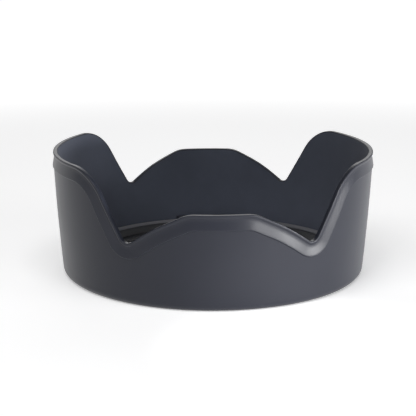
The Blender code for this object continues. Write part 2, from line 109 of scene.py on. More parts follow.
def middle(element):
    """The middle of an edge or a face."""
    return sum((vertex.co for vertex in element.verts), Vector()) / len(element.verts)


print("helpers ready")

# %% Naming and modifiers


def added(name):
    """Names what an operator has just added, and puts its place, turn and size into its mesh."""
    piece = bpy.context.object
    piece.name = name
    piece.data.name = name
    activate(piece)
    bpy.ops.object.transform_apply(location=True, rotation=True, scale=True)
    return piece


def modify(piece, kind, **settings):
    """Adds one modifier and applies it."""
    activate(piece)
    modifier = piece.modifiers.new(kind.title(), kind)
    for name, value in settings.items():
        setattr(modifier, name, value)
    bpy.ops.object.modifier_apply(modifier=modifier.name)
    return piece


def combine(piece, other, operation="DIFFERENCE"):
    """Cuts or joins two closed pieces, and clears the second one away."""
    modify(piece, "BOOLEAN", object=other, operation=operation)
    bpy.data.objects.remove(other, do_unlink=True)
    return piece


def block(name, low, high):
    """A box between two corners: the start of a piece, or a cutter."""
    low = Vector(low)
    high = Vector(high)
    bpy.ops.mesh.primitive_cube_add(size=1.0, location=(low + high) / 2, scale=high - low)
    return added(name)


def rod(name, radius, heights, centre=(0.0, 0.0), sides=32):
    """An upright cylinder between two heights."""
    place = (centre[0], centre[1], (heights[0] + heights[1]) / 2)
    bpy.ops.mesh.primitive_cylinder_add(
        vertices=sides, radius=radius, depth=heights[1] - heights[0], location=place
    )
    return added(name)


def smooth(piece, degrees=32):
    activate(piece)
    bpy.ops.object.shade_smooth_by_angle(angle=math.radians(degrees))
    triangles = sum(len(face.vertices) - 2 for face in piece.data.polygons)
    print(piece.name, "has", triangles, "triangles")
    return piece


# %% [markdown]
# ## The rim's line
#
# Everything on the hood follows the rim, so its line comes first. Laid out flat, a quarter of it is a level
# short petal, a slope into the notch, a steep slope up, and a level tall petal, with every corner rounded. A
# curve object could hold this line, but a short list of corners with radii is easier to read and to change. The
# quarter is mirrored into the other three.

# %% Corners of the rim
SHORT_HEIGHT = 29.2 * MM
TALL_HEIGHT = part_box("hood_shell")[1].z
RIM_RADIUS = 49.5 * MM
RIM_CORNERS = (
    (0.0, SHORT_HEIGHT, 0.0),
    (11.3, SHORT_HEIGHT, 10.0 * MM),
    (23.0, 24.4 * MM, 50.0 * MM),
    (34.15, 18.05 * MM, 2.4 * MM),
    (48.35, TALL_HEIGHT, 15.0 * MM),
    (90.0, TALL_HEIGHT, 0.0),
)


def rounded_line(corners, arc_step, straight_step):
    """(along, up, slope) at points of a line whose corners (along, up, radius) are rounded off."""
    slopes = [math.atan2(b[1] - a[1], b[0] - a[0]) for a, b in zip(corners, corners[1:])]
    line = []
    start = corners[0][:2]
    for corner, before, after in zip(corners[1:], slopes, slopes[1:] + slopes[-1:]):
        turn = (after - before + math.pi) % math.tau - math.pi
        side = math.copysign(corner[2], turn)
        cut = abs(side * math.tan(turn / 2))
        end = (corner[0] - cut * math.cos(before), corner[1] - cut * math.sin(before))
        count = max(1, round(math.dist(start, end) / straight_step))
        for i in range(count):
            share = i / count
            line.append((start[0] + (end[0] - start[0]) * share, start[1] + (end[1] - start[1]) * share, before))
        centre = (end[0] - side * math.sin(before), end[1] + side * math.cos(before))
        count = max(1, round(abs(turn) / arc_step))
        for i in range(count if corner[2] and abs(turn) > 0.001 else 0):
            a = before + turn * i / count
            line.append((centre[0] + side * math.sin(a), centre[1] - side * math.cos(a), a))
        start = (centre[0] + side * math.sin(before + turn), centre[1] - side * math.cos(before + turn))
    line.append((*corners[-1][:2], slopes[-1]))
    return line


corners = [(RIM_RADIUS * math.radians(angle), height, radius) for angle, height, radius in RIM_CORNERS]
quarter = rounded_line(corners, math.radians(4.5), 0.75 * MM)
half_turn = math.pi * RIM_RADIUS
half = quarter[:-1] + [(half_turn - along, up, -slope) for along, up, slope in reversed(quarter)][:-1]
rim_line = half + [(along + half_turn, up, slope) for along, up, slope in half]
print(len(rim_line), "places along the rim")

# %% [markdown]
# ## The section of the wall
#
# The wall flares a little, is very slightly barrelled, and thickens inside towards its foot. Its section has a
# rounded foot, a ridge that steps out under the lip band, a shallow hollow, a thin groove, a bead along the outer
# edge, and a soft inner edge. It could be a turned
# profile with the petals cut away, but then the band would not follow the rim. So the section is a list of rows,
# and each row says how to find its point at any place along the rim.

# %% Measures of the wall
FOOT_RADIUS = 48.0 * MM
FLARE = 0.0958
BARREL = 0.78
RIM_THICKNESS = 1.4 * MM  # of the wall and its lining, at the tall rim
BASE_THICKENING = 2.2 * MM  # and how much they gain towards the base
LINING = 0.3 * MM
FOOT_ROUND = 2.2 * MM
FOOT_INNER_RADIUS = 45.6 * MM
LEDGE_TOP = 4.5 * MM
LEDGE_BOTTOM = 1.9 * MM
LEDGE_RADIUS = 42.65 * MM
BAND = 5.0 * MM  # depth of the lip band below the rim
LIP_COVER = 0.35 * MM  # how far the rim's rounded inner edge reaches down over the lining


def wall_radius(z):
    return FOOT_RADIUS + FLARE * z - BARREL * z * z


def inner_radius(z):
    """The radius of the lining's face."""
    return wall_radius(z) - RIM_THICKNESS - BASE_THICKENING * (1 - z / TALL_HEIGHT) ** 4


def around(angle, radius, z):
    """The point at this angle from the middle of the front petal, towards +X."""
    return Vector((radius * math.sin(angle), -radius * math.cos(angle), z))


def from_rear(degrees, radius):
    """(x, y) at this angle from the middle of the rear petal, towards +X."""
    return (radius * math.sin(math.radians(degrees)), radius * math.cos(math.radians(degrees)))


def column_angle(station):
    """The angle at which a place on the rim meets the foot of the lip band."""
    return (station[0] + BAND * math.sin(station[2])) / RIM_RADIUS


print("tall rim", round(wall_radius(TALL_HEIGHT) / MM, 2), "mm from the axis")


# %% Three kinds of row


def foot_row(radius, z):
    """A level ring."""
    return lambda station: around(column_angle(station), radius, z)


def wall_row(share, low, face, rise=0.0):
    """A ring this share of the way from a level up to the lip band, this far out from a face of the wall."""

    def point(station):
        z = low + (station[1] - BAND * math.cos(station[2]) - low) * share
        return around(column_angle(station), face(z) + rise, z)

    return point


def rim_row(depth, face, rise=0.0):
    """A ring this deep below the rim, square to its line, this far out from a face of the wall."""

    def point(station):
        along, height, slope = station
        z = height - depth * math.cos(slope)
        return around((along + depth * math.sin(slope)) / RIM_RADIUS, face(z) + rise, z)

    return point


print("three kinds of row")

# %% Rows of the hood, from the foot up the outside, over the rim and down the inside
FOOT_STEPS = 9
WALL_STEPS = 16
LIP_CORNERS = (  # depth below the rim, height above the wall, corner radius
    (BAND, 0.0, 0.0),
    (4.68 * MM, 0.0, 0.16 * MM),
    (4.5 * MM, 0.36 * MM, 0.13 * MM),
    (1.9 * MM, -0.16 * MM, 3.0 * MM),
    (1.0 * MM, -0.30 * MM, 0.3 * MM),
    (0.62 * MM, -0.03 * MM, 0.25 * MM),
    (0.0, -0.08 * MM, 0.22 * MM),
    (0.0, -0.65 * MM, 0.0),
)
INNER_CORNERS = (  # depth below the rim, height above the lining's face, corner radius
    (0.0, 0.5 * MM, 0.0),
    (0.0, 0.0, 0.22 * MM),
    (LIP_COVER, 0.0, 0.0),
)


def rim_rows(corners, face):
    """Rows through rounded corners that are given as (depth, height over the face, radius)."""
    flat = [(-depth, rise, radius) for depth, rise, radius in corners]
    line = rounded_line(flat, math.radians(18), 0.5 * MM)
    return [rim_row(-along, face, rise) for along, rise, slope in line]


shell_rows = [foot_row(FOOT_INNER_RADIUS, 0.15 * MM), foot_row(FOOT_INNER_RADIUS + 0.15 * MM, 0.0)]
for i in range(FOOT_STEPS + 1):
    turn = math.pi / 2 * i / FOOT_STEPS
    inset = FOOT_ROUND * (1 - math.sin(turn))
    shell_rows.append(foot_row(wall_radius(FOOT_ROUND) - inset, FOOT_ROUND * (1 - math.cos(turn))))
shell_rows += [wall_row(i / WALL_STEPS, FOOT_ROUND, wall_radius) for i in range(1, WALL_STEPS)]
shell_rows += rim_rows(LIP_CORNERS, wall_radius) + rim_rows(INNER_CORNERS, inner_radius)
BACK = LINING + 0.05 * MM  # the wall behind the lining, out from the lining's face
BACK_SHARES = (1.0, 0.75, 0.5, 0.25, 0.1, 0.0)
shell_rows.append(rim_row(LIP_COVER, inner_radius, BACK))
shell_rows += [wall_row(share, LEDGE_TOP, inner_radius, BACK) for share in BACK_SHARES]
shell_rows.append(foot_row(LEDGE_RADIUS + 0.2 * MM, LEDGE_TOP))
shell_rows.append(foot_row(LEDGE_RADIUS + 0.06 * MM, LEDGE_TOP - 0.06 * MM))
shell_rows.append(foot_row(LEDGE_RADIUS, LEDGE_TOP - 0.2 * MM))
shell_rows.append(foot_row(LEDGE_RADIUS, LEDGE_BOTTOM))
shell_rows.append(foot_row(FOOT_INNER_RADIUS, LEDGE_BOTTOM))
print(len(shell_rows), "rows in the hood's section")

# %% [markdown]
# ## The hood's wall
#
# One circle with a vertex for each place on the rim is extruded row by row, as a modeller would pull up a wall,
# and each new ring is moved to where its row lies. The last ring is bridged to the first, which closes the wall
# into one body. A whole-number attribute remembers which place on the rim each vertex belongs to.

# %% Extrude a skin through rows


def place_ring(piece, row):
    """Moves the selected ring of vertices onto its row."""
    mesh = bmesh.from_edit_mesh(piece.data)
    column = mesh.verts.layers.int["column"]
    for vertex in mesh.verts:
        if vertex.select:
            vertex.co = row(rim_line[vertex[column]])
    bmesh.update_edit_mesh(piece.data)


def skin(name, rows):
    """A closed body through the rows, all the way round the hood."""
    bpy.ops.mesh.primitive_circle_add(vertices=len(rim_line), radius=FOOT_INNER_RADIUS)
    piece = added(name)
    column = piece.data.attributes.new("column", "INT", "POINT")
    column.data.foreach_set("value", range(len(rim_line)))
    edit(piece)
    place_ring(piece, rows[0])
    for row in rows[1:]:
        bpy.ops.mesh.extrude_region_move()
        place_ring(piece, row)
    select(piece, "EDGE", lambda edge: edge.is_boundary)
    bpy.ops.mesh.bridge_edge_loops()
    close(piece)
    piece.data.attributes.remove(piece.data.attributes["column"])
    return piece


hood = skin("hood_wall", shell_rows)
print("wall of", len(hood.data.polygons), "faces")

# %% [markdown]
# ## The lock's pocket, the window and the holes
#
# On the far side the ledge is thicker, and a pocket in it holds the lock. Pieces of a ring are needed for both.
# A flat rectangle swung about the optical axis gives one directly, which is simpler than bending a box. The spin
# operator turns clockwise, which here is from the rear petal towards +X.

# %% Swing a rectangle about the axis


def swung(name, radii, heights, angles, bevel=0.0, step=1.0):
    """A piece of a ring between two angles, in degrees from the rear petal towards +X."""
    start = math.radians(90 - angles[0])
    reach = (radii[0] + radii[1]) / 2
    place = (reach * math.cos(start), reach * math.sin(start), (heights[0] + heights[1]) / 2)
    bpy.ops.mesh.primitive_plane_add(size=1.0, location=place, rotation=(math.pi / 2, 0.0, start))
    bpy.context.object.scale = (radii[1] - radii[0], heights[1] - heights[0], 1.0)
    piece = added(name)
    edit(piece)
    sweep = angles[1] - angles[0]
    bpy.ops.mesh.spin(
        steps=max(2, math.ceil(sweep / step)), angle=math.radians(sweep), center=(0, 0, 0), axis=(0, 0, 1)
    )
    close(piece)
    if bevel:
        modify(piece, "BEVEL", width=bevel, segments=2, limit_method="ANGLE")
    return piece


BLOCK_TOP = 5.6 * MM
BLOCK_ANGLES = (-13.5, 17.0)
POCKET_ANGLES = (-11.5, 15.0)
POCKET_BOTTOM = 1.7 * MM
POCKET_RADIUS = 46.3 * MM
POCKET_TOP = 4.8 * MM
POCKET_WALL = 1.6 * MM
block_radii = (LEDGE_RADIUS, POCKET_RADIUS + POCKET_WALL)
combine(hood, swung("block", block_radii, (2.2 * MM, BLOCK_TOP), BLOCK_ANGLES, 0.25 * MM), "UNION")
combine(hood, swung("pocket", (LEDGE_RADIUS - MM, POCKET_RADIUS), (POCKET_BOTTOM, POCKET_TOP), POCKET_ANGLES))
print("pocket cut from", POCKET_BOTTOM / MM, "to", POCKET_TOP / MM, "mm")

# %% Cut the button's window, with a softened edge
BUTTON_HALF_WIDTH = 5.8 * MM
BUTTON_HEIGHTS = (1.6 * MM, 4.5 * MM)
WINDOW_GAP = 0.25 * MM
window = block(
    "window",
    (-BUTTON_HALF_WIDTH - WINDOW_GAP, 43.0 * MM, BUTTON_HEIGHTS[0] - WINDOW_GAP),
    (BUTTON_HALF_WIDTH + WINDOW_GAP, 52.0 * MM, BUTTON_HEIGHTS[1] + WINDOW_GAP),
)
edit(window)
select(window, "EDGE", lambda edge: abs((edge.verts[0].co - edge.verts[1].co).normalized().y) > 0.9)
bpy.ops.mesh.bevel(offset=0.35 * MM, segments=4)
close(window)
combine(hood, window)
print("window", 2 * (BUTTON_HALF_WIDTH + WINDOW_GAP) / MM, "mm wide")

# %% Drill the holes for the lever's pin, the screws and the two marks
PIVOT = (2.2 * MM, 43.69465 * MM)
SCREW_CIRCLE = 44.0 * MM
SCREW_ANGLES = (45.0, 135.0, 225.0, 315.0)
MARK_HEIGHT = 9.0 * MM
MARK_RADIUS = 0.9 * MM
MARK_DEPTH = 0.45 * MM
LOCK_MARK_ANGLE = 14.0
LOCK_MARK_HOLE = 0.5 * MM
combine(hood, rod("pin_hole", 0.57 * MM, (LEDGE_BOTTOM, 5.3 * MM), PIVOT))
for degrees in SCREW_ANGLES:
    combine(hood, rod("screw_hole", 0.75 * MM, (0.0, 4.2 * MM), from_rear(degrees, SCREW_CIRCLE), 24))


def lay_on_wall(piece, degrees):
    """Turns a piece made flat at the origin so that it faces out of the wall at the marks' height."""
    x, y = from_rear(degrees, wall_radius(MARK_HEIGHT))
    piece.rotation_euler = (math.pi / 2, 0.0, math.pi - math.radians(degrees))
    piece.location = (x, y, MARK_HEIGHT)
    activate(piece)
    bpy.ops.object.transform_apply(location=True, rotation=True, scale=True)
    return piece


for degrees in (0.0, LOCK_MARK_ANGLE):
    recess = rod("recess", MARK_RADIUS + 0.03 * MM, (-MARK_DEPTH, MM), sides=40)
    combine(hood, lay_on_wall(recess, degrees))
smooth(hood)
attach(hood, "root")
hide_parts("hood_shell")

# %% [markdown]
# ## The flock lining
#
# The inside is lined with a thin flocked sheet that swallows light. It starts above the ledge and ends just below
# the rim's rounded inner edge, so it follows the rim too and is made through rows in the same way. A Solidify
# modifier on one sheet would also give it, but its upper edge would not sit square to the rim.

# %% Make the lining
LINING_LOW = LEDGE_TOP + 0.05 * MM
LINING_DEPTHS = (3.6 * MM, 2.4 * MM, LIP_COVER + 0.04 * MM)  # below the rim, above the band's line
LINING_STEPS = 14
lining_shares = [i / LINING_STEPS for i in range(LINING_STEPS + 1)]
lining_rows = [wall_row(share, LINING_LOW, inner_radius, LINING) for share in lining_shares]
lining_rows += [rim_row(depth, inner_radius, LINING) for depth in LINING_DEPTHS]
lining_rows += [rim_row(depth, inner_radius) for depth in reversed(LINING_DEPTHS)]
lining_rows += [wall_row(share, LINING_LOW, inner_radius) for share in reversed(lining_shares)]
lining = skin("lining", lining_rows)
CLEARING_RADII = (LEDGE_RADIUS - MM, POCKET_RADIUS + 2 * POCKET_WALL)
CLEARING_HEIGHTS = (4.0 * MM, BLOCK_TOP + 0.1 * MM)
CLEARING_ANGLES = (-13.7, 17.2)
combine(lining, swung("clearing", CLEARING_RADII, CLEARING_HEIGHTS, CLEARING_ANGLES))
smooth(lining)
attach(lining, "root")
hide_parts("flock_lining")

# %% [markdown]
# ## The bayonet ring
#
# The ring goes in from the foot: a flange that the screws hold, a collar that lines the bore, and three lugs
# that turn under the lens's tracks. The section starts as one small rectangle. Its top edge is extruded up for
# the collar and its outer edge out for the flange, the corners are bevelled, and the outline is spun.

# %% Shape and spin the ring's section
BORE_RADIUS = 41.5 * MM
COLLAR_RADIUS = 42.5 * MM
FLANGE_RADIUS = 45.3 * MM
FLANGE = 1.6 * MM
RING_STEPS = 300
bpy.ops.mesh.primitive_plane_add(
    size=1.0, location=((BORE_RADIUS + COLLAR_RADIUS) / 2, 0.0, FLANGE / 2), rotation=(math.pi / 2, 0.0, 0.0)
)
bpy.context.object.scale = (COLLAR_RADIUS - BORE_RADIUS, FLANGE, 1.0)
ring = added("bayonet_ring")
edit(ring)
select(ring, "EDGE", lambda edge: middle(edge).z > 0.99 * FLANGE)
bpy.ops.mesh.extrude_region_move(TRANSFORM_OT_translate={"value": (0.0, 0.0, LEDGE_TOP - FLANGE)})
select(ring, "EDGE", lambda edge: middle(edge).x > 0.999 * COLLAR_RADIUS and middle(edge).z < FLANGE)
bpy.ops.mesh.extrude_region_move(TRANSFORM_OT_translate={"value": (FLANGE_RADIUS - COLLAR_RADIUS, 0.0, 0.0)})
bpy.ops.mesh.select_all(action="SELECT")
bpy.ops.mesh.dissolve_faces()
bpy.ops.mesh.bevel(offset=0.12 * MM, segments=3, affect="VERTICES")
bpy.ops.mesh.delete(type="ONLY_FACE")
bpy.ops.mesh.select_all(action="SELECT")
bpy.ops.mesh.spin(steps=RING_STEPS, angle=math.tau, center=(0, 0, 0), axis=(0, 0, 1))
bpy.ops.mesh.select_all(action="SELECT")
bpy.ops.mesh.remove_doubles(threshold=0.001 * MM)
close(ring)
print("ring of", len(ring.data.polygons), "faces")

# %% Lugs, the guard over the pocket, and the ring's holes
LUG_RADIUS = 40.3 * MM
LUG_HEIGHTS = (0.4 * MM, 1.8 * MM)
LUG_HALF_ANGLE = 12.0
LUG_ANGLES = (80.0, 200.0, 320.0)
guard_radii = (BORE_RADIUS, COLLAR_RADIUS)
combine(ring, swung("guard", guard_radii, (LEDGE_TOP - MM, BLOCK_TOP), POCKET_ANGLES, 0.15 * MM), "UNION")
for facing in LUG_ANGLES:
    angles = (facing - LUG_HALF_ANGLE, facing + LUG_HALF_ANGLE)
    lug = swung("lug", (LUG_RADIUS, BORE_RADIUS + 0.4 * MM), LUG_HEIGHTS, angles, 0.22 * MM, 2.0)
    combine(ring, lug, "UNION")
combine(ring, block("tooth_slot", (6.55 * MM, 37.3 * MM, 1.8 * MM), (10.4 * MM, 43.0 * MM, 3.75 * MM)))
combine(ring, rod("pin_socket", 0.57 * MM, (0.5 * MM, 2.0 * MM), PIVOT))
COUNTERBORE = 0.9 * MM
for degrees in SCREW_ANGLES:
    centre = from_rear(degrees, SCREW_CIRCLE)
    combine(ring, rod("shank_hole", 0.75 * MM, (-MM, 3.0 * MM), centre, 24))
    combine(ring, rod("head_recess", 1.3 * MM, (-MM, COUNTERBORE), centre, 40))
smooth(ring)
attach(ring, "root")
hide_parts("mount_ring")

# %% [markdown]
# ## The ring's screws
#
# Four small pan-head screws come up from the foot. One is modelled: a short cylinder is the head, its inner face
# is inset and extruded for the shank, and the edge of its outer face is bevelled into the pan. Two thin boxes cut
# the cross recess. The others are copies with meshes of their own.

# %% Model one screw and copy it
HEAD_RADIUS = 1.1 * MM
HEAD = (0.15 * MM, 0.85 * MM)
SHANK_RADIUS = 0.55 * MM
SHANK_TOP = 3.9 * MM
pattern = rod("screw_pattern", HEAD_RADIUS, HEAD, sides=32)
edit(pattern)
select(pattern, "FACE", lambda face: face.normal.z > 0.9)
bpy.ops.mesh.inset(thickness=HEAD_RADIUS - SHANK_RADIUS)
bpy.ops.mesh.extrude_region_move(TRANSFORM_OT_translate={"value": (0.0, 0.0, SHANK_TOP - HEAD[1] - 0.4 * MM)})
bpy.ops.mesh.extrude_region_move(TRANSFORM_OT_translate={"value": (0.0, 0.0, 0.4 * MM)})
bpy.ops.transform.resize(value=(0.6, 0.6, 1.0))
select(pattern, "FACE", lambda face: face.normal.z < -0.9)
bpy.ops.mesh.bevel(offset=0.3 * MM, segments=4)
close(pattern)
arm = 0.68 * MM
half_slot = 0.13 * MM
for x, y in ((arm, half_slot), (half_slot, arm)):
    combine(pattern, block("slot", (-x, -y, 0.0), (x, y, HEAD[0] + 0.35 * MM)))
modify(pattern, "BEVEL", width=0.03 * MM, segments=1, limit_method="ANGLE", angle_limit=math.radians(50))
screws = []
for number, degrees in enumerate(SCREW_ANGLES, 1):
    screw = pattern.copy()
    screw.data = pattern.data.copy()
    screw.name = f"screw_{number}"
    bpy.context.scene.collection.objects.link(screw)
    screw.location = (*from_rear(degrees, SCREW_CIRCLE), 0.0)
    screw.rotation_euler.z = math.radians(25.0 * number)
    activate(screw)
    bpy.ops.object.transform_apply(location=True, rotation=True, scale=True)
    smooth(screw)
    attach(screw, "root")
    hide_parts(f"ring_screw_{number}")
    screws.append(screw)
bpy.data.objects.remove(pattern, do_unlink=True)

# %% [markdown]
# ## The release button
#
# The button fills the window flush with the curve of the wall and stands a little proud. A box is sliced with
# bisect so that it can follow the curve, its face is cut with three grip grooves, and every edge is softened. Its
# ears, which keep it from falling out, and the rib that pushes the lever are joined on behind.

# %% Model the button
FACE_RADIUS = 48.8 * MM
BACK_RADIUS = 45.95 * MM
GROOVE_PITCH = 2.4 * MM


def curved_block(name, half_width, radii, heights, slices=12):
    """A box across the rear petal whose front and back follow circles about the axis."""
    piece = block(name, (-half_width, radii[0], heights[0]), (half_width, radii[1], heights[1]))
    edit(piece)
    for i in range(1, slices):
        x = -half_width + 2 * half_width * i / slices
        bpy.ops.mesh.select_all(action="SELECT")
        bpy.ops.mesh.bisect(plane_co=(x, 0.0, 0.0), plane_no=(1.0, 0.0, 0.0))
    close(piece)
    for vertex in piece.data.vertices:
        vertex.co.y = math.sqrt(vertex.co.y**2 - vertex.co.x**2)
    return piece


button = curved_block("release_button", BUTTON_HALF_WIDTH, (BACK_RADIUS, FACE_RADIUS), BUTTON_HEIGHTS)
edit(button)
select(button, "EDGE", lambda edge: edge.calc_length() > MM and abs(middle(edge).x) > BUTTON_HALF_WIDTH - 1e-5
       and abs((edge.verts[0].co - edge.verts[1].co).normalized().y) > 0.9)
bpy.ops.mesh.bevel(offset=0.3 * MM, segments=3)
close(button)
for x in (-GROOVE_PITCH, 0.0, GROOVE_PITCH):
    groove = block("groove", (x - 0.35 * MM, 48.45 * MM, 0.0), (x + 0.35 * MM, 50.0 * MM, 6.0 * MM))
    combine(button, groove)
modify(button, "BEVEL", width=0.12 * MM, segments=3, limit_method="ANGLE", angle_limit=math.radians(40))
ears = curved_block("ears", 7.4 * MM, (45.35 * MM, BACK_RADIUS + 0.1 * MM), (3.75 * MM, 4.5 * MM))
combine(button, ears, "UNION")
push_rib = block("push_rib", (-4.4 * MM, 44.9 * MM, 2.1 * MM), (-3.2 * MM, BACK_RADIUS + 0.3 * MM, 3.3 * MM))
combine(button, push_rib, "UNION")
smooth(button)
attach(button, "button")
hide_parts("lock_button")

# %% [markdown]
# ## The lever and its pin
#
# The lever's outline is already right in the working model, and only its edges are too sharp for a moulding. A
# copy of it is merged into one surface, its flat faces are made whole again, and its edges are bevelled. The pin
# is a short rod with a broken edge at each end.

# %% Soften the lever, and turn the pin
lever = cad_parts["lock_lever"].copy()
lever.data = lever.data.copy()
lever.name = "tooth_lever"
lever.parent = None
for key in list(lever.keys()):
    del lever[key]
bpy.context.scene.collection.objects.link(lever)
edit(lever)
bpy.ops.mesh.remove_doubles(threshold=0.002 * MM)
bpy.ops.mesh.dissolve_limited(angle_limit=math.radians(2))
close(lever)
modify(lever, "BEVEL", width=0.1 * MM, segments=2, limit_method="ANGLE", angle_limit=math.radians(50))
smooth(lever)
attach(lever, "lever")
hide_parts("lock_lever")

pin_low, pin_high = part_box("lever_pin")
pin = rod("pivot_pin", (pin_high.x - pin_low.x) / 2, (pin_low.z, pin_high.z), PIVOT)
modify(pin, "BEVEL", width=0.08 * MM, segments=2, limit_method="ANGLE")
smooth(pin)
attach(pin, "root")
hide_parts("lever_pin")

# %% [markdown]
# ## The lever's spring
#
# The spring is a wire wound round a line from the lever to the pocket's wall. A curve with a round bevel is the
# natural way to make a wire, and a loop gives its points. It shortens as the lever swings; here it is wound at
# one length, with its end coils closed.

# %% Wind the spring
SPRING_COILS = 5
WIRE = 0.12 * MM
POINTS_A_COIL = 20
spring_low, spring_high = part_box("lever_spring")
spring_radius = (spring_high.z - spring_low.z) / 2 - WIRE
spring_x = (spring_low.x + spring_high.x) / 2
spring_z = (spring_low.z + spring_high.z) / 2
wire = bpy.data.curves.new("spring", "CURVE")
wire.dimensions = "3D"
wire.bevel_depth = WIRE
wire.bevel_resolution = 2
wire.use_fill_caps = True
spline = wire.splines.new("POLY")
last = SPRING_COILS * POINTS_A_COIL
spline.points.add(last)
reach = spring_high.y - spring_low.y - 2 * WIRE
for i, point in enumerate(spline.points):
    turns = i / POINTS_A_COIL
    share = min(max((turns - 0.75) / (SPRING_COILS - 1.5), 0.0), 1.0)
    closed = WIRE * 1.6 * (min(turns, 0.75) + max(turns - SPRING_COILS + 0.75, 0.0)) / 0.75
    y = spring_low.y + WIRE + closed + (reach - 3.2 * WIRE) * share
    angle = math.tau * turns
    point.co = (spring_x + spring_radius * math.cos(angle), y, spring_z + spring_radius * math.sin(angle), 1.0)
spring = bpy.data.objects.new("lever_return_spring", wire)
bpy.context.scene.collection.objects.link(spring)
activate(spring)
bpy.ops.object.convert(target="MESH")
spring = bpy.context.object
edit(spring)
bpy.ops.mesh.remove_doubles(threshold=0.001 * MM)
close(spring)
smooth(spring)
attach(spring, "root")
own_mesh(spring)
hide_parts("lever_spring")

# %% [markdown]
# ## The alignment marks
#
# A filled dot above the button and a small ring beside it show where to offer the hood up and where it locks.
# They are drops of paint in shallow recesses, so each is a flat disc whose upper edge is bevelled round.

# %% Paint the dot and the ring
PAINT = (-0.42 * MM, -0.12 * MM)


def mark(name, degrees, node, hole=0.0):
    piece = rod(name, MARK_RADIUS, PAINT, sides=48)
    if hole:
        combine(piece, rod("mark_hole", hole, (-MM, MM), sides=40))
    edit(piece)
    select(piece, "FACE", lambda face: face.normal.z > 0.9)
    bpy.ops.mesh.bevel(offset=0.12 * MM, segments=3)
    close(piece)
    lay_on_wall(piece, degrees)
    smooth(piece, 40)
    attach(piece, "root")
    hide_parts(node)
    return piece


marks = [
    mark("mounting_dot", 0.0, "index_dot"),
    mark("locked_ring", LOCK_MARK_ANGLE, "lock_mark", LOCK_MARK_HOLE),
]

# %% [markdown]
# ## Writing materials as sums
#
# Each finish is a small graph of shader nodes. A wrapper round a socket lets a graph be written as a sum, so
# that 0.5 + 0.1 * grain adds its Math nodes by itself. One method adds any other node.

# %% Sockets that can be added and multiplied


class Signal:
    """An output socket in a material, with arithmetic."""

    def __init__(self, tree, socket):
        self.tree = tree
        self.socket = socket

    def node(self, kind, settings, sockets, output=0):
        """Adds a node: its settings first, then the values or signals of its sockets."""
        made = self.tree.nodes.new(kind)
        for name, value in settings.items():
            setattr(made, name, value)
        for name, value in sockets.items():
            if isinstance(value, Signal):
                self.tree.links.new(value.socket, made.inputs[name])
            else:
                made.inputs[name].default_value = value
        return Signal(self.tree, made.outputs[output])

    def math(self, operation, first, second):
        return self.node("ShaderNodeMath", {"operation": operation}, {0: first, 1: second})

    def __add__(self, other):
        return self.math("ADD", self, other)

    def __sub__(self, other):
        return self.math("SUBTRACT", self, other)

    def __rsub__(self, other):
        return self.math("SUBTRACT", other, self)

    def __mul__(self, other):
        return self.math("MULTIPLY", self, other)

    __radd__ = __add__
    __rmul__ = __mul__

    def noise(self, scale, detail=2.0, roughness=0.5):
        """Cloudy noise from 0 to 1 at this many features a metre."""
        sockets = {"Vector": self, "Scale": scale, "Detail": detail, "Roughness": roughness}
        return self.node("ShaderNodeTexNoise", {}, sockets)

    def between(self, low, high):
        """0 below low, 1 above high and a smooth ramp between."""
        sockets = {"Value": self, "From Min": low, "From Max": high}
        return self.node("ShaderNodeMapRange", {"interpolation_type": "SMOOTHSTEP"}, sockets)

    def mix(self, first, second):
        """The first colour where this signal is 0, the second where it is 1."""
        sockets = {"Factor": self, 6: (*first, 1.0), 7: (*second, 1.0)}
        return self.node("ShaderNodeMix", {"data_type": "RGBA"}, sockets, 2)

    def length(self):
        """How far this vector reaches."""
        return self.node("ShaderNodeVectorMath", {"operation": "LENGTH"}, {0: self}, 1)

    def bump(self, strength, distance):
        """A normal bent by this signal as a height."""
        return self.node("ShaderNodeBump", {}, {"Height": self, "Strength": strength, "Distance": distance})


print("signals ready")

# %% Start and finish a material


def start_material(name):
    """A new material: its Principled shader, and the Object coordinates as a signal."""
    material = bpy.data.materials.new(name)
    material.use_nodes = True
    tree = material.node_tree
    coordinates = tree.nodes.new("ShaderNodeTexCoord")
    return material, tree.nodes["Principled BSDF"], Signal(tree, coordinates.outputs["Object"])


def feed(shader, **sockets):
    """Sets or links the shader's sockets: a plain value is set, and a signal is linked."""
    for name, value in sockets.items():
        socket = shader.inputs[name.replace("_", " ")]
        if isinstance(value, Signal):
            value.tree.links.new(value.socket, socket)
        else:
            socket.default_value = value


def paint(material, *pieces):
    for piece in pieces:
        piece.data.materials.clear()
        piece.data.materials.append(material)
    print(material.name, "on", ", ".join(piece.name for piece in pieces))
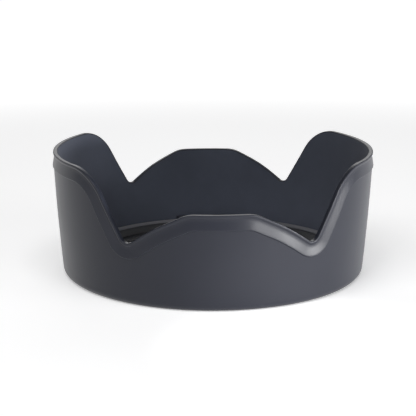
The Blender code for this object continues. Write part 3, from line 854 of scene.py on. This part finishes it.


# %% [markdown]
# ## Moulded shell plastic
#
# The shell is a dark slate plastic moulded against a spark-eroded tool: satin, with a very fine grain. Handling
# polishes it in soft patches. The grain is two noises of different size in a bump, and the patches are a large
# noise that feeds roughness and, faintly, colour. The ledge under the lining is painted paler: a painted
# highlight for the light that its upward face catches. It is found by its height and its distance from the axis.

# %% Shell plastic
shell_plastic, shader, place = start_material("shell_plastic")
grain = 0.6 * place.noise(5200.0, 2.0, 0.6) + 0.4 * place.noise(11000.0, 1.0)
patches = place.noise(55.0, 3.0, 0.55)
wall_colour = patches.mix((0.0178, 0.0196, 0.0284), (0.0212, 0.0230, 0.0328))
# Painted highlight: the ledge's top is coloured paler where its upward face catches light.
LEDGE_HIGHLIGHT_COLOUR = (0.13, 0.13, 0.14, 1.0)
height = place.node("ShaderNodeSeparateXYZ", {}, {0: place}, 2)
above = height.between(LEDGE_TOP - 0.3 * MM, LEDGE_TOP - 0.1 * MM)
below = 1 - height.between(LEDGE_TOP + 0.05 * MM, LEDGE_TOP + 0.2 * MM)
inboard = 1 - place.length().between(POCKET_RADIUS - 0.5 * MM, POCKET_RADIUS)
ledge = above * below * inboard
ledge_highlight_mix = {"Factor": ledge, 6: wall_colour, 7: LEDGE_HIGHLIGHT_COLOUR}
feed(
    shader,
    Base_Color=ledge.node("ShaderNodeMix", {"data_type": "RGBA"}, ledge_highlight_mix, 2),
    Roughness=0.28 + 0.08 * patches + 0.04 * grain,
    Normal=grain.bump(0.22, 0.02 * MM),
)
feed(shader, Specular_IOR_Level=0.3)
paint(shell_plastic, hood)

# %% [markdown]
# ## Flock
#
# Flock is short fibre glued upright, so it has no gloss of its own, and a faint bloom where it is seen edge on.
# The sheen of the Principled shader gives the bloom, and a fine noise bump gives the nap.

# %% Flock
flock, shader, place = start_material("flock")
nap = 0.5 * place.noise(3800.0, 4.0, 0.7) + 0.5 * place.noise(9000.0, 2.0, 0.6)
clumps = place.noise(140.0, 3.0, 0.6)
feed(
    shader,
    Base_Color=(0.7 * clumps + 0.3 * nap).mix((0.052, 0.058, 0.078), (0.072, 0.080, 0.106)),
    Roughness=1.0,
    Normal=nap.bump(0.5, 0.06 * MM),
)
feed(shader, Specular_IOR_Level=0.1, Sheen_Weight=0.08, Sheen_Roughness=0.6)
paint(flock, lining)

# %% [markdown]
# ## The bayonet ring, the button and the lever
#
# These are smoother mouldings in black. The ring is seen against the shell as a slightly smoother, more neutral
# black, and its bore carries faint turning lines from the tool, which a wave that rises with height gives.

# %% Smooth black plastics
ring_plastic, shader, place = start_material("ring_plastic")
grain = place.noise(8000.0, 2.0, 0.6)
rub = place.noise(90.0, 3.0, 0.6)
lines = place.node(
    "ShaderNodeTexWave",
    {"wave_type": "BANDS", "bands_direction": "Z"},
    {"Vector": place, "Scale": 900.0, "Distortion": 0.4, "Detail": 1.0},
    1,
)
feed(
    shader,
    Base_Color=rub.mix((0.020, 0.021, 0.024), (0.026, 0.027, 0.030)),
    Roughness=0.36 + 0.10 * rub,
    Normal=(0.6 * grain + 0.4 * lines).bump(0.15, 0.015 * MM),
)
paint(ring_plastic, ring)

button_plastic, shader, place = start_material("button_plastic")
touch = place.noise(260.0, 3.0, 0.6)
feed(
    shader,
    Base_Color=touch.mix((0.016, 0.017, 0.020), (0.023, 0.024, 0.028)),
    Roughness=0.30 + 0.12 * touch,
    Normal=place.noise(7000.0, 2.0).bump(0.15, 0.015 * MM),
)
paint(button_plastic, button)

lever_plastic, shader, place = start_material("lever_plastic")
flow = place.noise(400.0, 2.0, 0.5)
feed(
    shader,
    Base_Color=flow.mix((0.042, 0.042, 0.044), (0.055, 0.055, 0.057)),
    Roughness=0.34 + 0.1 * flow,
    Normal=flow.bump(0.08, 0.02 * MM),
)
paint(lever_plastic, lever)

# %% [markdown]
# ## Metals and paint
#
# The screws are black-zinc plated and the plating is thinnest where a driver has touched it. The pin is ground,
# with fine lines round it, and the spring is drawn wire. The marks are matt paint with a slightly uneven fill.

# %% Metals and paint
black_zinc, shader, place = start_material("black_zinc")
worn = place.noise(1500.0, 3.0, 0.6).between(0.55, 0.8)
feed(
    shader,
    Base_Color=worn.mix((0.055, 0.056, 0.062), (0.21, 0.21, 0.21)),
    Roughness=0.42 - 0.12 * worn,
    Metallic=0.9,
    Normal=place.noise(6000.0, 2.0).bump(0.1, 0.01 * MM),
)
paint(black_zinc, *screws)

steel, shader, place = start_material("steel")
streaks = place.node("ShaderNodeMapping", {}, {"Vector": place, "Scale": (1.0, 1.0, 8.0)}).noise(2500.0, 3.0)
feed(
    shader,
    Base_Color=streaks.mix((0.46, 0.46, 0.47), (0.60, 0.60, 0.61)),
    Roughness=0.24 + 0.14 * streaks,
    Metallic=1.0,
    Normal=streaks.bump(0.1, 0.01 * MM),
)
paint(steel, pin, spring)

white_paint, shader, place = start_material("white_paint")
fill = place.noise(1800.0, 3.0, 0.6)
feed(
    shader,
    Base_Color=fill.mix((0.60, 0.60, 0.58), (0.70, 0.70, 0.68)),
    Roughness=0.5 + 0.2 * fill,
    Normal=fill.bump(0.25, 0.03 * MM),
)
paint(white_paint, *marks)

# %% [markdown]
# ## The studio
#
# A dark satin object is lit by what it reflects. A wide soft box stands low on the right, a narrower one fills in
# beside it, two hang high in front and on the left for the inside, and a weak one lights the far side. The white
# floor bounces light up the wall. The lamps fall off over the floor, so it glows a little, more with distance, and
# a patch in front glows most. It has no glow under the hood.

# %% Floor
FLOOR_SIZE = 6.0
GLOW = 0.38
FAR_GLOW = 0.9
FOOTPRINT = (0.046, 0.047)  # distances from the hood's middle
FAR = (0.25, 0.6)
FRONT_GLOW = 0.9
FRONT_PATCH = (0.025, -0.078, 0.0)
FRONT_PATCH_RADIUS = 0.05
bpy.ops.mesh.primitive_plane_add(size=FLOOR_SIZE, location=(0.0, 0.0, -0.02 * MM))
floor = added("floor")
floor_white, shader, place = start_material("floor_white")
away = place.length()
open_floor = away.between(*FOOTPRINT)
from_patch = place.node("ShaderNodeVectorMath", {"operation": "DISTANCE"}, {0: place, 1: FRONT_PATCH}, 1)
patch = (1 - from_patch.between(0.0, FRONT_PATCH_RADIUS)) * open_floor
glow = GLOW * open_floor + (FAR_GLOW - GLOW) * away.between(*FAR) + FRONT_GLOW * patch
feed(
    shader,
    Base_Color=place.noise(4.0).mix((0.90, 0.90, 0.905), (0.93, 0.93, 0.935)),
    Roughness=0.9,
    Specular_IOR_Level=0.1,
    Emission_Color=glow.mix((0.0, 0.0, 0.0), (1.0, 1.0, 1.0)),
    Emission_Strength=1.0,
)
paint(floor_white, floor)

# %% Surroundings: almost no light of their own, and plain white to the eye
FILL = 0.03
world = bpy.data.worlds.new("studio")
world.use_nodes = True
bpy.context.scene.world = world
bpy.context.scene.view_settings.view_transform = "Standard"
background = world.node_tree.nodes["Background"]
background.inputs["Color"].default_value = (1.0, 1.0, 1.0, 1.0)
seen = Signal(world.node_tree, world.node_tree.nodes.new("ShaderNodeLightPath").outputs["Is Camera Ray"])
level = FILL + (1.0 - FILL) * seen
world.node_tree.links.new(level.socket, background.inputs["Strength"])
print("world fill", FILL)

# %% Soft boxes
SOFT_BOXES = (  # name, degrees to the right of the front, distance, height, width and height of the box, watts
    ("right_box", 66, 0.9, 0.045, (0.35, 0.08), 8.2),
    ("fill_box", 38, 0.9, 0.06, (0.30, 0.12), 3.4),
    ("high_left_box", -40, 0.7, 0.8, (0.6, 0.6), 3.4),
    ("high_front_box", 5, 0.4, 1.05, (0.6, 0.6), 4.0),
    ("back_box", 180, 0.9, 0.45, (0.6, 0.5), 1.8),
)
LIT_POINT = Vector((0.0, 0.0, 0.02))


def turned_to(place, target):
    """The turn that points a light or camera from its place at a target."""
    return (target - place).to_track_quat("-Z", "Y").to_euler()


def soft_box(name, facing, distance, height, size, watts):
    lamp = bpy.data.lights.new(name, "AREA")
    lamp.shape = "RECTANGLE"
    lamp.size, lamp.size_y = size
    lamp.energy = watts
    light = bpy.data.objects.new(name, lamp)
    bpy.context.scene.collection.objects.link(light)
    light.location = around(math.radians(facing), distance, height)
    light.rotation_euler = turned_to(light.location, LIT_POINT)


for box in SOFT_BOXES:
    soft_box(*box)
print(len(SOFT_BOXES), "soft boxes")

# %% Camera: a long lens, a little above the rim
CAMERA_PLACE = Vector((-0.01963, -0.39108, 0.11469))
CAMERA_AIM = Vector((-0.00158, 0.00007, 0.01927))
CAMERA_LENS = 108.43
camera_data = bpy.data.cameras.new("camera")
camera_data.lens = CAMERA_LENS
camera_data.sensor_width = 36.0
camera = bpy.data.objects.new("camera", camera_data)
bpy.context.scene.collection.objects.link(camera)
bpy.context.scene.camera = camera
camera.location = CAMERA_PLACE
camera.rotation_euler = turned_to(CAMERA_PLACE, CAMERA_AIM)
print("camera", round((CAMERA_PLACE - CAMERA_AIM).length, 3), "m away")
